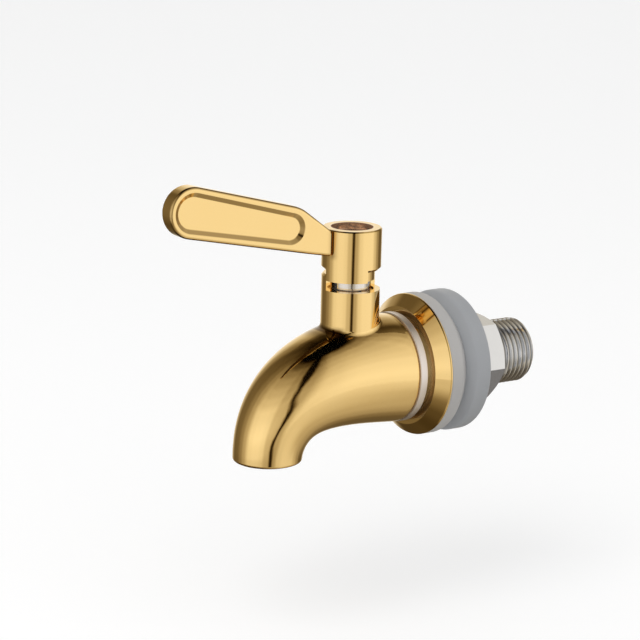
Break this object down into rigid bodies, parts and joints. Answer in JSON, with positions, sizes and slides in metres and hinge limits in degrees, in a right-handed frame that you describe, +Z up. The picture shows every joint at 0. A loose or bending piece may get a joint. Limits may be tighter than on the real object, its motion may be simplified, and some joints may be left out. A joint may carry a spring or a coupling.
{
  "type": "beverage dispenser spigot",
  "caption": "Gold quarter-turn spigot for a drink dispenser: curved horn spout, side-swinging lever, threaded shank with conical wall flange, soft gaskets and hex nut.",
  "frame": {"origin": "centre of the wall flange's sealing face, on the axis of the threaded shank", "axes": "+Y along the shank towards the container, +Z up, +X sideways; the spout and the lever at rest point along -Y"},
  "size_m": [0.0346, 0.1016, 0.0676],
  "materials": {
    "gold_plate": "mirror-polished gold plate",
    "turned_steel": "fine turned, bright",
    "silicone": "matte translucent grey",
    "seat_plastic": "waxy white",
    "seal_rubber": "satin black",
    "gland_brass": "turned"
  },
  "bodies": {
    "spout": {"spout_body": "gold_plate", "threaded_shank": "turned_steel", "shank_seal": "seal_rubber", "wall_flange": "gold_plate", "front_gasket": "silicone", "outlet_seat": "seat_plastic", "inlet_seat": "seat_plastic", "lower_thrust_washer": "seat_plastic", "upper_thrust_washer": "seat_plastic", "gland_ring": "gland_brass"},
    "lever": {"lever": "gold_plate", "flat_washer": "turned_steel", "lock_washer": "turned_steel", "lever_screw": "turned_steel", "valve_stem": "turned_steel", "lower_stem_seal": "seal_rubber", "upper_stem_seal": "seal_rubber", "valve_ball": "turned_steel"},
    "gasket": {"rear_gasket": "silicone"},
    "nut": {"lock_nut": "turned_steel"}
  },
  "joints": [
    {"name": "lever_turn", "type": "hinge", "parent": "spout", "child": "lever", "pos_m": [0, -0.01835, 0.025], "axis": [0, 0, 1], "range_deg": [0, 90]},
    {"name": "gasket_slide", "type": "slide", "parent": "spout", "child": "gasket", "axis": [0, 1, 0], "range_m": [0, 0.01]},
    {"name": "nut_turn", "type": "hinge", "parent": "gasket", "child": "nut", "pos_m": [0, 0.0166, 0], "axis": [0, 1, 0], "range_deg": [0, 2690]}
  ],
  "couplings": [
    {"joint": "gasket_slide", "follows": "nut_turn", "m_per_rad": 0.00021279}
  ]
}
